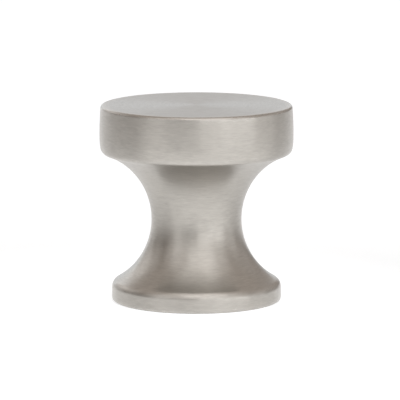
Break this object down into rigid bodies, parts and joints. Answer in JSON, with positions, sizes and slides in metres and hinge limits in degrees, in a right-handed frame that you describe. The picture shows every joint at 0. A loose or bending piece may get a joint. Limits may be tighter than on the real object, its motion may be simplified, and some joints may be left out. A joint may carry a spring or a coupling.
{
  "type": "cabinet knob",
  "caption": "Round spool-shaped cabinet knob: flat head with a softly crowned rim, waisted neck, base rim and a threaded blind hole in the back for its fixing screw.",
  "frame": {"origin": "centre of the mounting face, which sits against the door or drawer front", "axes": "+Z along the turning axis, from the mounting face to the face of the head; the knob is the same all round, so X and Y may be turned freely"},
  "size_m": [0.032, 0.032, 0.0325],
  "materials": {
    "brushed_metal": "satin, brushed round the turning axis"
  },
  "bodies": {
    "root": {"knob": "brushed_metal"}
  },
  "joints": []
}
